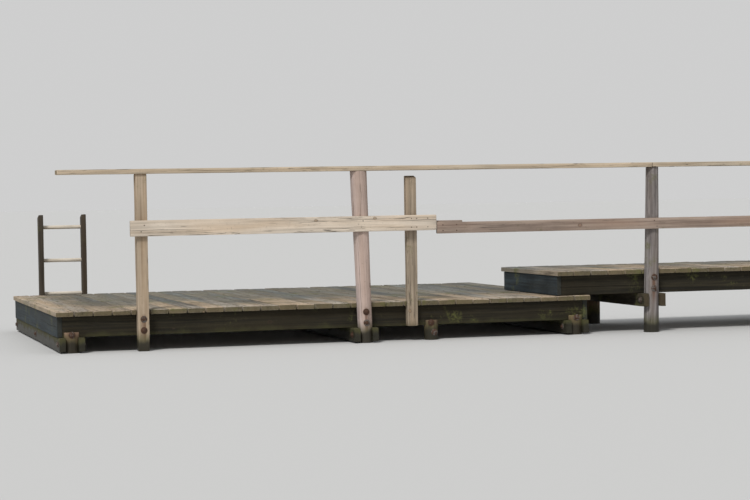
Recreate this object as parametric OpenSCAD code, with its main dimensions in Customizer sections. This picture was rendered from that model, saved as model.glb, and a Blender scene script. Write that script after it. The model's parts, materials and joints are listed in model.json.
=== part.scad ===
// Wooden lake jetty: a low bathing platform at the lake end, a walkway one step higher
// that runs ashore in bays, a railing along one side and a bathing ladder on the other.
// Millimetres. X runs from the lake end to the shore end, Y from the railing side to the
// open side, and Z = 0 is the waterline, where every pile is cut off.

/* [Bays] */
// Lake end of the deck to the centre of the first railing post
first_post_x = 580; // [500:10:700]
// Centre distance of the first two railing posts
head_bay = 1540; // [1400:10:1650]
// Centre distance of the main posts from the second one on
bay = 2150; // [2050:10:2400]
// Length of walkway past the last post, up to the shore end
shore_overhang = 280; // [200:10:400]

/* [Platform] */
// Width of the platform deck, from the railing edge to the ladder edge
platform_w = 2700; // [2300:50:3200]
// Lake end of the deck to the step where the walkway begins
step_x = 3550; // [3400:10:3650]
// Length over which the walkway stringers lie on the platform deck
walkway_lap = 250; // [220:10:300]
// Height of the lowest bearers above the waterline
bearer_clear = 10; // [5:1:120]
// Distance from each end of the platform to the centre of its end pile row
end_row_inset = 105; // [100:5:150]
// Centre distance of the second main post and the extra pile under the railing edge
extra_pile_dx = 500; // [420:10:700]

/* [Walkway] */
// Width of the walkway deck
walkway_w = 1200; // [900:10:1600]

/* [Decking] */
// Wanted width of a deck board, evened out so that whole boards fill a deck
board_w = 120; // [90:1:160]
// Gap between two deck boards
board_gap = 8; // [4:1:12]
// Thickness of a deck board
board_t = 35; // [25:1:45]
// Overhang of the board ends past the outer stringers
board_overhang = 40; // [20:1:50]
// Clearance of a board that is notched round a post
notch_clear = 4; // [2:1:8]

/* [Stringers and bearers] */
// Width of a stringer
stringer_w = 60; // [50:1:80]
// Depth of a stringer
stringer_h = 140; // [120:1:180]
// Gap at a butt joint between two timbers in line
butt_gap = 4; // [2:1:8]
// Thickness of one plank of a bearer pair
bearer_t = 45; // [35:1:50]
// Depth of a bearer plank
bearer_h = 95; // [80:1:120]
// Length of a bearer past the seats that carry it
bearer_end = 18; // [10:1:24]
// Thickness of the boards that close the ends of the stringers
end_board_t = 35; // [25:1:40]
// Overhang of a deck's end board past the board that closes its frame
end_lip = 10; // [0:1:15]

/* [Piles and posts] */
// Timber left between two opposite seats cut into a round pile
seat_w = 84; // [76:1:88]
// Foot diameter of the head pile, the second railing post
head_pile_foot_d = 100; // [96:1:120]
// Top diameter of the head pile
head_pile_top_d = 118; // [104:1:125]
// Foot diameter of the walkway's railing posts
walk_post_foot_d = 112; // [104:1:125]
// Top diameter of the walkway's railing posts
walk_post_top_d = 93; // [92:1:110]
// Diameter of the short piles that end under the stringers
short_pile_d = 120; // [104:1:130]
// Diameter of the extra pile
extra_pile_d = 98; // [94:1:120]
// Height of the cheek that a notched pile head keeps in front of its stringer
cheek_h = 34; // [20:1:60]
// Thickness of that cheek
cheek_t = 32; // [25:1:40]
// Largest lean of a main post, in degrees
post_lean = 1.6; // [0:0.1:2]
// Width of the squared posts
square_post_w = 76; // [60:1:100]
// Centre distance of the head pile and the short squared post
short_post_dx = 350; // [300:10:370]
// Gap between the top of the short squared post and the top rail
short_post_gap = 36; // [10:1:60]

/* [Railing] */
// Height of the top rail's upper face above the platform deck
rail_h = 940; // [850:10:1100]
// Width of the flat top rail
top_rail_w = 115; // [90:1:140]
// Thickness of the top rail
top_rail_t = 34; // [25:1:45]
// Distance of the top rail's free end from the lake end of the deck
top_rail_inset = 20; // [10:1:60]
// Thickness of the middle rail
mid_rail_t = 28; // [20:1:35]
// Depth of the middle rail along the platform
head_rail_h = 108; // [90:1:130]
// Height of that rail's centre line above the platform deck
head_rail_z = 542; // [500:1:600]
// Depth of the middle rail along the walkway
walk_rail_h = 80; // [70:1:120]
// Height of that rail's centre line above the platform deck
walk_rail_z = 503; // [480:1:560]
// Length of the middle rail past the first post, towards the lake
mid_rail_lead = 45; // [20:1:80]
// Distance from the short post's centre to the joint of the two middle rails
mid_rail_joint_dx = 166; // [100:1:200]
// Length of the cleat behind that joint
cleat_l = 400; // [360:10:500]
// Depth of the cleat
cleat_h = 64; // [50:1:70]

/* [Ladder] */
// Lake end of the deck to the centre of the ladder
ladder_x = 395; // [300:5:800]
// Centre distance of the two ladder uprights
ladder_w = 338; // [300:1:450]
// Width of an upright along the deck edge
upright_w = 38; // [32:1:50]
// Distance that an upright stands out past the deck edge
upright_out = 45; // [44:1:60]
// Height of the uprights above the platform deck
upright_h = 633; // [600:1:800]
// Slope of the weathered upright and post tops, in degrees
top_slope = 14; // [5:1:25]
// Diameter of a rung
rung_d = 30; // [26:1:34]
// Centre distance of the rungs
rung_pitch = 263; // [240:1:275]
// Height of the lowest rung's centre above the waterline
rung_first_z = 24; // [18:1:60]
// Depth to which a rung end is let into its upright
rung_seat = 22; // [15:1:28]
// Radial clearance of a rung end in its upright
rung_clear = 0.2; // [0.1:0.05:0.4]
// Distance of the rung centre line from the outer face of the uprights
rung_back = 23; // [20:1:24]

/* [Hidden] */
$fn = 64;
main_bays = 4;
rungs = 4;

// Heights
bearer_z = bearer_clear;
stringer_z = bearer_z + bearer_h;
board_z = stringer_z + stringer_h;
platform_h = board_z + board_t;
walk_stringer_z = platform_h;
walk_bearer_z = walk_stringer_z - bearer_h;
walk_board_z = walk_stringer_z + stringer_h;
rail_top_z = platform_h + rail_h;
rail_under_z = rail_top_z - top_rail_t;
upright_top_z = platform_h + upright_h;

// Places along the jetty, from the lake end
post_a_x = first_post_x;
head_pile_x = post_a_x + head_bay;
short_post_x = head_pile_x + short_post_dx;
extra_pile_x = head_pile_x + extra_pile_dx;
platform_l = step_x + walkway_lap;
end_row_x = platform_l - end_row_inset;
jetty_l = walk_post_x(main_bays) + shore_overhang;
frame_start_x = end_lip + end_board_t;
walk_frame_start_x = step_x + frame_start_x;
walk_frame_end_x = jetty_l - end_board_t;
mid_rail_start_x = post_a_x - square_post_w / 2 - mid_rail_lead;
mid_joint_x = short_post_x + mid_rail_joint_dx;

// Where lengths of timber in one line start, meet and end
deck_ends = [step_x, walk_post_x(2), jetty_l];
stringer_ends = [walk_frame_start_x, walk_post_x(2), walk_frame_end_x];
top_rail_ends = [top_rail_inset, walk_post_x(1), walk_post_x(3), jetty_l];
mid_rail_ends = [mid_rail_start_x, mid_joint_x, walk_post_x(2), jetty_l];

// Places across the jetty, from the railing edge of the deck
stringer_face_y = board_overhang;
rail_y = stringer_face_y - seat_w;
post_y = stringer_face_y - seat_w / 2;
near_stringer_y = stringer_face_y + stringer_w / 2;
platform_far_y = platform_w - stringer_face_y - stringer_w / 2;
walkway_far_y = walkway_w - stringer_face_y - stringer_w / 2;
ladder_y = platform_w - board_overhang;
far_y = platform_w + upright_out;
upright_d = far_y - ladder_y;
rung_y = far_y - rung_back;
near_y = min(rail_y - mid_rail_t, post_y - top_rail_w / 2, rail_y - bearer_end);

// Spare length of a cutting block or of a log before it is cut to its height
spare = 40;
blocks = 400;

// Centre of walkway post number i, counted from the first post past the step
function walk_post_x(i) = head_pile_x + i * bay;

// Diameter at height z of a log that tapers evenly between its foot and its top
function log_d(foot_d, top_d, top_z, z) = foot_d + (top_d - foot_d) * z / top_z;

// Lean of main post number i, different for each and largest at the head pile
function lean(i) = -post_lean * cos(137 * i);

// Start and end of length number i in a line, with a gap where it meets the next
function start_x(ends, i, gap) = ends[i - 1] + (i == 1 ? 0 : gap / 2);
function end_x(ends, i, gap) = ends[i] - (i == len(ends) - 1 ? 0 : gap / 2);

// The finished jetty is centred over the middle of its footprint
module in_place() {
    translate([-jetty_l / 2, -(near_y + far_y) / 2, 0]) children();
}

// Timbers

module beam_x(x0, x1, y_mid, z, w, h) {
    translate([x0, y_mid - w / 2, z]) cube([x1 - x0, w, h]);
}

// A log stands on the waterline and leans about its point at the platform's height
module log(x, y, foot_d, top_d, top_z, tilt = 0) {
    low_d = log_d(foot_d, top_d, top_z, -spare);
    high_d = log_d(foot_d, top_d, top_z, top_z + spare);
    intersection() {
        translate([x, y, platform_h])
            rotate([0, tilt, 0])
                translate([0, 0, -platform_h - spare])
                    cylinder(h = top_z + 2 * spare, d1 = low_d, d2 = high_d);
        translate([x - blocks / 2, y - blocks / 2, 0]) cube([blocks, blocks, top_z]);
    }
}

// Seats on both sides of a pile for a pair of bearer planks
module bearer_seats(x, y, z) {
    for (side = [-1, 1])
        translate([x + side * (seat_w + blocks) / 2, y, z + bearer_h / 2])
            cube([blocks, blocks, bearer_h], center = true);
}

// Seat for a rail on the outer side of a post
module rail_seat(x, z_mid, h) {
    translate([x - blocks / 2, rail_y - blocks, z_mid - h / 2]) cube([blocks, blocks, h]);
}

// Seat for the stringer on the inner side of a post
module stringer_seat(x, z) {
    translate([x - blocks / 2, stringer_face_y, z]) cube([blocks, blocks, stringer_h]);
}

// Decks

// Boards lie across the deck, evened out in width so that whole boards fill its length
module boards(x0, x1, w, z) {
    count = max(1, round((x1 - x0 + board_gap) / (board_w + board_gap)));
    pitch = (x1 - x0 + board_gap) / count;
    for (i = [0 : count - 1])
        translate([x0 + i * pitch, 0, z]) cube([pitch - board_gap, w, board_t]);
}

// Notch in the railing edge of a deck round a post that reaches in to inner_y
module post_notch(x, w, inner_y, z) {
    depth = inner_y + notch_clear + spare;
    translate([x - w / 2 - notch_clear, -spare, z - 1])
        cube([w + 2 * notch_clear, depth, board_t + 2]);
}

module log_notch(x, foot_d, top_d, tilt, z) {
    d = log_d(foot_d, top_d, rail_under_z, z);
    shift = (z - platform_h) * tan(tilt);
    post_notch(x + shift, d, post_y + d / 2, z);
}

module platform_deck() {
    color([0.56, 0.54, 0.50]) in_place() difference() {
        boards(0, platform_l, platform_w, board_z);
        post_notch(post_a_x, square_post_w, stringer_face_y, board_z);
        log_notch(head_pile_x, head_pile_foot_d, head_pile_top_d, lean(0), board_z);
        post_notch(short_post_x, square_post_w, stringer_face_y, board_z);
        for (side = [-1, 1])
            translate([ladder_x + side * ladder_w / 2, ladder_y + spare / 2, board_z + board_t / 2])
                cube([upright_w + 2 * notch_clear, spare + 2 * notch_clear, board_t + 2], center = true);
    }
}

module walkway_deck(i) {
    x0 = start_x(deck_ends, i, board_gap);
    x1 = end_x(deck_ends, i, board_gap);
    color([0.54, 0.51, 0.47]) in_place() difference() {
        boards(x0, x1, walkway_w, walk_board_z);
        for (n = [1 : main_bays])
            log_notch(walk_post_x(n), walk_post_foot_d, walk_post_top_d, lean(n), walk_board_z);
    }
}

// Stringers and the boards that close their ends

module platform_stringer(y_mid) {
    beam_x(frame_start_x, platform_l - frame_start_x, y_mid, stringer_z, stringer_w, stringer_h);
}

module platform_stringer_near() {
    color([0.30, 0.29, 0.27]) in_place() platform_stringer(near_stringer_y);
}

module platform_stringers_inner() {
    color([0.30, 0.29, 0.27]) in_place() for (i = [1 : 3])
        platform_stringer(near_stringer_y + i * (platform_far_y - near_stringer_y) / 4);
}

module platform_stringer_far() {
    color([0.30, 0.29, 0.27]) in_place() platform_stringer(platform_far_y);
}

module platform_end_board(x0) {
    color([0.24, 0.28, 0.30]) in_place()
        translate([x0, stringer_face_y, stringer_z])
            cube([end_board_t, platform_w - 2 * stringer_face_y, stringer_h]);
}

// Each walkway stringer is two lengths with a butt joint between the planks of a bearer
module walkway_stringers() {
    color([0.32, 0.30, 0.27]) in_place()
        for (y_mid = [near_stringer_y, (near_stringer_y + walkway_far_y) / 2, walkway_far_y])
            for (i = [1 : len(stringer_ends) - 1]) {
                x0 = start_x(stringer_ends, i, butt_gap);
                x1 = end_x(stringer_ends, i, butt_gap);
                beam_x(x0, x1, y_mid, walk_stringer_z, stringer_w, stringer_h);
            }
}

module walkway_end_board(x0) {
    color([0.42, 0.39, 0.35]) in_place()
        translate([x0, stringer_face_y, walk_stringer_z])
            cube([end_board_t, walkway_w - 2 * stringer_face_y, stringer_h]);
}

// Bearers: pairs of planks let into both sides of the piles of a row

module bearer_pair(x, y0, y1, z) {
    color([0.34, 0.31, 0.27]) in_place() for (side = [-1, 1])
        translate([x + side * (seat_w + bearer_t) / 2 - bearer_t / 2, y0, z])
            cube([bearer_t, y1 - y0, bearer_h]);
}

module platform_end_bearer(x) {
    bearer_pair(x, stringer_face_y - cheek_t - bearer_end, platform_far_y + short_pile_d / 2, bearer_z);
}

module platform_head_bearer() {
    bearer_pair(head_pile_x, rail_y - bearer_end, platform_far_y + short_pile_d / 2, bearer_z);
}

module walkway_bearer(i) {
    bearer_pair(walk_post_x(i), rail_y - bearer_end, walkway_far_y + short_pile_d / 2, walk_bearer_z);
}

// Piles

// A short pile ends under its stringer, level with the top of its bearers
module short_pile(x, y, bearers_z) {
    difference() {
        log(x, y, short_pile_d, short_pile_d, bearers_z + bearer_h);
        bearer_seats(x, y, bearers_z);
    }
}

// A cheek pile is notched under its stringer and keeps a cheek in front of it
module cheek_pile(x, d) {
    y = stringer_face_y - cheek_t + d / 2;
    difference() {
        log(x, y, d, d, stringer_z + cheek_h);
        translate([x - blocks / 2, stringer_face_y, stringer_z]) cube([blocks, blocks, stringer_h]);
    }
}

module platform_end_piles(x) {
    color([0.38, 0.34, 0.29]) in_place() {
        difference() {
            cheek_pile(x, short_pile_d);
            bearer_seats(x, near_stringer_y, bearer_z);
        }
        short_pile(x, (near_stringer_y + platform_far_y) / 2, bearer_z);
        short_pile(x, platform_far_y, bearer_z);
    }
}

module platform_head_piles() {
    color([0.38, 0.34, 0.29]) in_place() {
        short_pile(head_pile_x, (near_stringer_y + platform_far_y) / 2, bearer_z);
        short_pile(head_pile_x, platform_far_y, bearer_z);
    }
}

module extra_pile() {
    color([0.52, 0.42, 0.34]) in_place() cheek_pile(extra_pile_x, extra_pile_d);
}

module walkway_pile(i) {
    color([0.40, 0.36, 0.31]) in_place() short_pile(walk_post_x(i), walkway_far_y, walk_bearer_z);
}

// Railing posts

// First post, squared, from the waterline to the top rail
module first_post() {
    color([0.58, 0.55, 0.48]) in_place()
        translate([post_a_x - square_post_w / 2, rail_y, 0])
            cube([square_post_w, seat_w, rail_under_z]);
}

// Second post, the leaning head pile
module head_pile() {
    color([0.66, 0.62, 0.61]) in_place() difference() {
        log(head_pile_x, post_y, head_pile_foot_d, head_pile_top_d, rail_under_z, lean(0));
        bearer_seats(head_pile_x, post_y, bearer_z);
        stringer_seat(head_pile_x, stringer_z);
        rail_seat(head_pile_x, platform_h + head_rail_z, head_rail_h);
    }
}

// Third post, short and squared, screwed to the stringer behind the joint of the middle rails
module short_post() {
    top_z = rail_under_z - short_post_gap;
    depth = seat_w - mid_rail_t;
    color([0.64, 0.57, 0.47]) in_place() difference() {
        translate([short_post_x - square_post_w / 2, rail_y + mid_rail_t, stringer_z])
            cube([square_post_w, depth, top_z - stringer_z]);
        translate([short_post_x - square_post_w, rail_y + mid_rail_t + depth, top_z])
            rotate([top_slope, 0, 0])
                translate([0, -blocks, 0]) cube([2 * square_post_w, blocks, blocks]);
    }
}

// Posts of the walkway, round, with seats for bearers, stringer and middle rail
module walkway_post(i) {
    x = walk_post_x(i);
    color([0.55, 0.54, 0.53]) in_place() difference() {
        log(x, post_y, walk_post_foot_d, walk_post_top_d, rail_under_z, lean(i));
        bearer_seats(x, post_y, walk_bearer_z);
        stringer_seat(x, walk_stringer_z);
        rail_seat(x, platform_h + walk_rail_z, walk_rail_h);
    }
}

// Rails

module top_rail(i) {
    x0 = start_x(top_rail_ends, i, butt_gap);
    x1 = end_x(top_rail_ends, i, butt_gap);
    color([0.70, 0.65, 0.56]) in_place()
        beam_x(x0, x1, post_y, rail_under_z, top_rail_w, top_rail_t);
}

// The middle rail is nailed to the outer side of the posts
module mid_rail(i, z_mid, h) {
    x0 = start_x(mid_rail_ends, i, butt_gap);
    x1 = end_x(mid_rail_ends, i, butt_gap);
    in_place()
        translate([x0, rail_y - mid_rail_t, z_mid - h / 2]) cube([x1 - x0, mid_rail_t, h]);
}

module head_mid_rail() {
    color([0.74, 0.70, 0.63]) mid_rail(1, platform_h + head_rail_z, head_rail_h);
}

module walkway_mid_rail(i) {
    color([0.60, 0.53, 0.48]) mid_rail(i, platform_h + walk_rail_z, walk_rail_h);
}

// Cleat that joins the two middle rails, held by the short post
module mid_rail_cleat() {
    z_mid = platform_h + (head_rail_z + walk_rail_z) / 2;
    color([0.58, 0.51, 0.43]) in_place()
        translate([short_post_x - square_post_w / 2, rail_y, z_mid - cleat_h / 2])
            cube([cleat_l, mid_rail_t, cleat_h]);
}

// Bathing ladder on the open side

module ladder_upright(x) {
    difference() {
        translate([x - upright_w / 2, ladder_y, 0]) cube([upright_w, upright_d, upright_top_z]);
        translate([x - upright_w, ladder_y, upright_top_z])
            rotate([-top_slope, 0, 0]) cube([2 * upright_w, 2 * upright_d, blocks]);
    }
}

module rung_row(d, half_l) {
    for (i = [0 : rungs - 1])
        translate([ladder_x - half_l, rung_y, rung_first_z + i * rung_pitch])
            rotate([0, 90, 0]) cylinder(h = 2 * half_l, d = d);
}

module ladder_uprights() {
    inner = ladder_w / 2 - upright_w / 2;
    color([0.28, 0.26, 0.23]) in_place() difference() {
        for (side = [-1, 1]) ladder_upright(ladder_x + side * ladder_w / 2);
        rung_row(rung_d + 2 * rung_clear, inner + rung_seat);
    }
}

module ladder_rungs() {
    inner = ladder_w / 2 - upright_w / 2;
    color([0.83, 0.80, 0.74]) in_place() rung_row(rung_d, inner + rung_seat);
}

platform_deck();
platform_stringer_near();
platform_stringers_inner();
platform_stringer_far();
platform_end_board(end_lip);  // platform_lake_board
platform_end_board(platform_l - frame_start_x);  // platform_shore_board
platform_end_bearer(end_row_inset);  // platform_bearer_1
platform_head_bearer();  // platform_bearer_2
platform_end_bearer(end_row_x);  // platform_bearer_3
platform_end_piles(end_row_inset);  // platform_piles_1
platform_head_piles();  // platform_piles_2
platform_end_piles(end_row_x);  // platform_piles_3
extra_pile();
first_post();  // railing_post_1
head_pile();  // railing_post_2
short_post();  // railing_post_3
walkway_post(1);  // railing_post_4
walkway_post(2);  // railing_post_5
walkway_post(3);  // railing_post_6
walkway_post(4);  // railing_post_7
walkway_pile(1);  // walkway_pile_1
walkway_pile(2);  // walkway_pile_2
walkway_pile(3);  // walkway_pile_3
walkway_pile(4);  // walkway_pile_4
walkway_bearer(1);  // walkway_bearer_1
walkway_bearer(2);  // walkway_bearer_2
walkway_bearer(3);  // walkway_bearer_3
walkway_bearer(4);  // walkway_bearer_4
walkway_stringers();
walkway_deck(1);  // walkway_deck_1
walkway_deck(2);  // walkway_deck_2
walkway_end_board(step_x + end_lip);  // step_riser
walkway_end_board(walk_frame_end_x);  // shore_header
top_rail(1);  // top_rail_1
top_rail(2);  // top_rail_2
top_rail(3);  // top_rail_3
head_mid_rail();  // mid_rail_1
walkway_mid_rail(2);  // mid_rail_2
walkway_mid_rail(3);  // mid_rail_3
mid_rail_cleat();
ladder_uprights();
ladder_rungs();
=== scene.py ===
"""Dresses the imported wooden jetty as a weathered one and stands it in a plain, pale studio.

Each timber of the frame gives way to a worn one in the same place. Lengths are in metres.
"""

import json
import math
from collections import namedtuple
from functools import partialmethod

import bpy
import numpy as np
from mathutils import Matrix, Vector
from numpy.random import default_rng


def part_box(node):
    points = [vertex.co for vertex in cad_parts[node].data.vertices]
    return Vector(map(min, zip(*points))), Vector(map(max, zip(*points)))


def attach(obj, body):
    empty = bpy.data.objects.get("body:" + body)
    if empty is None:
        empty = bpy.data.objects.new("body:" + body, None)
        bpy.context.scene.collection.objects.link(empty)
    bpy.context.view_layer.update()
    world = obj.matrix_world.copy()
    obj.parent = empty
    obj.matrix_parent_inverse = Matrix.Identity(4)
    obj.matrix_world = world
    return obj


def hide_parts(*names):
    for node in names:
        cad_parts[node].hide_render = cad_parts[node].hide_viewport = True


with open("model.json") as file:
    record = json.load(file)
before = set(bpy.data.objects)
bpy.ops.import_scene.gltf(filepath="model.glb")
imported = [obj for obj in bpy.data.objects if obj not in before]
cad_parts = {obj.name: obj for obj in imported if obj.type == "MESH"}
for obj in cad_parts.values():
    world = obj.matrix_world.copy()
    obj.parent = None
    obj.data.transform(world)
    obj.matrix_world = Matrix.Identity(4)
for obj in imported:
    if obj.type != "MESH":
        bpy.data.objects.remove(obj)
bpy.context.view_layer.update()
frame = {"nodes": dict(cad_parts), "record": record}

X, Y, Z = range(3)
TURN = 2 * math.pi

# Places are measured as in the part: x from the lake end, y from the railing edge of the decks
ORIGIN = np.array(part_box("platform_deck")[0]) * (1, 1, 0)


# What the frame tells


def solids(node):
    """The boxes of a CAD node's separate solids, sorted from the lake end."""
    me = frame["nodes"][node].data
    co = np.array([v.co for v in me.vertices])
    point = np.unique(np.round(co, 5), axis=0, return_inverse=True)[1].ravel()
    a, b = point[np.array([e.vertices for e in me.edges])].T
    solid = np.arange(point.max() + 1)
    while (solid[a] != solid[b]).any():
        low = np.minimum(solid[a], solid[b])
        np.minimum.at(solid, a, low)
        np.minimum.at(solid, b, low)
        solid = solid[solid]
    groups = [co[solid[point] == k] for k in np.unique(solid)]
    boxes = [(group.min(0), group.max(0)) for group in groups]
    return sorted(boxes, key=lambda box: tuple(np.round(box[0], 4)))


def clean(value):
    """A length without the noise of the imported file."""
    return round(float(value), 4)


def span(node, axis):
    """The lowest and the highest place of a CAD node along an axis."""
    return [clean(corner[axis] - ORIGIN[axis]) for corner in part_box(node)]


def middle(node, axis):
    """The place halfway along a CAD node."""
    return clean(sum(span(node, axis)) / 2)


def centres(node, axis):
    """The middles of a CAD node's solids along an axis, each place once and in order."""
    return sorted({clean((lo + hi)[axis] / 2 - ORIGIN[axis]) for lo, hi in solids(node)})


PLATFORM_H = span("platform_deck", Z)[1]
RAIL_UNDER, RAIL_TOP = span("top_rail_1", Z)
FIRST_X, SHORT_X = middle("railing_post_1", X), middle("railing_post_3", X)
EXTRA_X = middle("extra_pile", X)
ROW_X = [middle(f"platform_bearer_{n}", X) for n in range(1, 4)]
HEAD_X = ROW_X[1]
WALK_X = [middle(f"walkway_bearer_{n}", X) for n in range(1, 5)]
PILE_Y, WALK_PILE_Y = centres("platform_piles_2", Y), centres("walkway_pile_1", Y)

# From which height to which the bearers, stringers and middle rails are let into the posts
PLATFORM_SEAT, WALK_SEAT = span("platform_bearer_1", Z), span("walkway_bearer_1", Z)
PLATFORM_LINE, WALK_LINE = span("platform_stringer_near", Z), span("walkway_stringers", Z)
HEAD_RAIL, WALK_RAIL = span("mid_rail_1", Z), span("mid_rail_2", Z)

# The planks of a bearer pair, with a post's seats between them
PLANKS = solids("platform_bearer_1")
PLANK_T = clean(PLANKS[0][1][X] - PLANKS[0][0][X])
SEAT_W = clean(PLANKS[1][0][X] - PLANKS[0][1][X])

# Places across the jetty, and the face and top of the cheeks of notched pile heads
STRINGER_FACE = span("platform_stringer_near", Y)[0]
RAIL_Y, POST_Y = STRINGER_FACE - SEAT_W, STRINGER_FACE - SEAT_W / 2
RAIL_FACE = span("mid_rail_1", Y)[0]
CHEEK_FACE, CHEEK_TOP = span("extra_pile", Y)[0], span("extra_pile", Z)[1]

# What the frame doesn't tell, as in the part: diameters at foot and top, and the decking
HEAD_D, WALK_D = (0.100, 0.118), (0.112, 0.093)
SHORT_PILE_D, EXTRA_PILE_D = 0.120, 0.098
POST_LEAN = 1.6
BOARD_W, BOARD_GAP, NOTCH_CLEAR = 0.120, 0.008, 0.004
TOP_SLOPE = math.tan(math.radians(14))

# What the scene adds
NAIL_SIDE = 0.031  # from a deck board's centre line to its nails
PLATFORM_BOLTS, WALK_BOLTS = (0.215, 0.140), (0.395, 0.315)  # heights on the posts
LEDGE = 0.0002  # half the height over which a seat's shoulder steps in
GRAIN_RUN = 40  # range of the random shift of each timber's grain
HEAD_WORN = 0.003  # how much the arris of a log's head has worn away
DECK_SUNK, RAIL_SUNK = 0.0022, 0.0012  # how deep nail heads sit in worn wood
POST_SUNK, CHEEK_SUNK, PLANK_SUNK = 0.0018, 0.0015, 0.001  # and washers
BEYOND = 9.0  # past every edge and top, for what runs out there


# Noise, and the pieces that gather the timbers of a node

LATTICE = default_rng(7).random((64, 64))


def field(u, v, seed, wrap=64):
    """Smooth noise from 0 to 1, with one feature a unit. It repeats after wrap units of v."""
    u, v = np.broadcast_arrays(u + seed * 5.37, v + seed * 3.71 % wrap)
    iu, iv = np.floor(u).astype(int), np.floor(v).astype(int)
    fu, fv = u - iu, v - iv
    fu, fv = fu * fu * (3 - 2 * fu), fv * fv * (3 - 2 * fv)

    def at(a, b):
        return LATTICE[(a + seed * 13) % 64, (b % wrap) % 64]

    low = at(iu, iv) * (1 - fu) + at(iu + 1, iv) * fu
    high = at(iu, iv + 1) * (1 - fu) + at(iu + 1, iv + 1) * fu
    return low * (1 - fv) + high * fv


def shelves(sizes, margin):
    """Lays charts on shelves in a square. Returns their places and its side."""
    sizes = np.array(sizes) + margin
    order = np.argsort(-sizes[:, 1])
    side = max(math.sqrt((sizes[:, 0] * sizes[:, 1]).sum()), sizes.max())
    while True:
        place, x, y, shelf = np.zeros_like(sizes), 0.0, 0.0, 0.0
        for k in order:
            w, h = sizes[k]
            if x + w > side:
                x, y, shelf = 0.0, y + shelf, 0.0
            place[k] = x, y
            x, shelf = x + w, max(shelf, h)
        if y + shelf <= side:
            return place + margin / 2, side
        side *= 1.02


def joined(*parts):
    """Arrays and plain numbers side by side, along a new last axis."""
    return np.stack(np.broadcast_arrays(*parts), -1)


def put(items, name, parts, kind=np.float32):
    """Writes a list of arrays to the elements of a mesh."""
    items.foreach_set(name, np.concatenate(parts).astype(kind).ravel())


def placed(name, data):
    """Adds an object to the scene and returns it."""
    ob = bpy.data.objects.new(name, data)
    bpy.context.scene.collection.objects.link(ob)
    return ob


class Piece:
    """Gathers vertices, what the materials read from them, and faces in flat charts.

    grain is a place along a timber and across it from its pith, tone is random for each timber,
    mark is wear, cracks and the distance from the line of fasteners, row is the place between two
    rows of nails, and end is 1 on end grain.
    """

    def __init__(self, name):
        self.name, self.points, self.charts, self.count = name, [], [], 0

    def verts(self, co, grain, tone, mark=0, row=0.5):
        """Adds points and returns the number of the first."""
        parts = [np.broadcast_to(part, co.shape).reshape(-1, 3) for part in (co, grain, tone, mark)]
        n = len(parts[0])
        self.points.append((*parts, np.broadcast_to(row, n)))
        self.count += n
        return self.count - n

    def chart(self, groups, end=0.0):
        """Adds pairs of faces and their places on one chart, which is turned upright."""
        flat = np.concatenate([uv.reshape(-1, 2) for _, uv in groups])
        low, size = flat.min(0), np.ptp(flat, axis=0)
        order = np.argsort(size)
        groups = [(faces, (uv - low)[..., order]) for faces, uv in groups]
        self.charts.append((groups, size[order], end))

    def build(self, material):
        """Makes the object, with its charts packed for the bake."""
        co, *vectors, row = zip(*self.points)
        place, side = shelves([size for _, size, _ in self.charts], 0.004)
        corners, starts, uvs, ends, at = [], [], [], [], 0
        for (groups, _, end), spot in zip(self.charts, place):
            for faces, uv in groups:
                n, k = faces.shape
                corners.append(faces.ravel())
                starts.append(at + np.arange(n) * k)
                uvs.append(((uv + spot) / side).reshape(-1, 2))
                ends.append(np.full(n, end))
                at += n * k
        me = bpy.data.meshes.new(self.name)
        me.vertices.add(self.count)
        put(me.vertices, "co", co)
        me.loops.add(at)
        put(me.loops, "vertex_index", corners, np.int32)
        me.polygons.add(sum(map(len, starts)))
        put(me.polygons, "loop_start", starts, np.int32)
        me.update(calc_edges=True)
        put(me.uv_layers.new(name="OFBake").uv, "vector", uvs)
        for name, data in zip(("grain", "tone", "mark"), vectors):
            put(me.attributes.new(name, "FLOAT_VECTOR", "POINT").data, "vector", data)
        put(me.attributes.new("end", "FLOAT", "FACE").data, "value", ends)
        put(me.attributes.new("row", "FLOAT", "POINT").data, "value", row)
        me.validate()
        me.shade_smooth()
        me.set_sharp_from_angle(angle=math.radians(40))
        me.materials.append(material)
        ob = placed(self.name, me)
        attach(ob, "root")
        return ob


# Timbers


def skin(rings, n):
    """Quads between closed rings of n points, and their corners as rings and places round them."""
    i, j = np.meshgrid(np.arange(rings - 1), np.arange(n), indexing="ij")
    corners = ((i, j), (i, j + 1), (i + 1, j + 1), (i + 1, j))
    return np.stack([a * n + b % n for a, b in corners], -1).reshape(-1, 4), corners


def fan(ring, centre):
    """Triangles between a ring of points and one in its middle."""
    return joined(ring, np.roll(ring, -1), centre)


def cap(piece, outer, ring, grain, tone, back):
    """Closes a ring of points, numbered outer, by two inner rings and a centre."""
    rim = np.column_stack([ring, grain])
    centre, wide, groups = rim.mean(0), rim, []
    for share in (0.6, 0.25):
        narrow = centre + (rim - centre) * share
        inner = piece.verts(narrow[:, :3], narrow[:, 3:], tone) + np.arange(len(rim))
        quads = joined(outer, np.roll(outer, -1), np.roll(inner, -1), inner)
        uv = np.stack([wide, np.roll(wide, -1, 0), np.roll(narrow, -1, 0), narrow], 1)
        groups.append((quads, uv[..., 4:]))
        outer, wide = inner, narrow
    tip = fan(outer, piece.verts(centre[None, :3], centre[None, 3:], tone))
    uv = np.stack([wide, np.roll(wide, -1, 0), np.broadcast_to(centre, rim.shape)], 1)
    groups.append((tip, uv[..., 4:]))
    if back:
        groups = [(faces[:, ::-1], uv[:, ::-1]) for faces, uv in groups]
    piece.chart(groups, 1.0)


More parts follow.
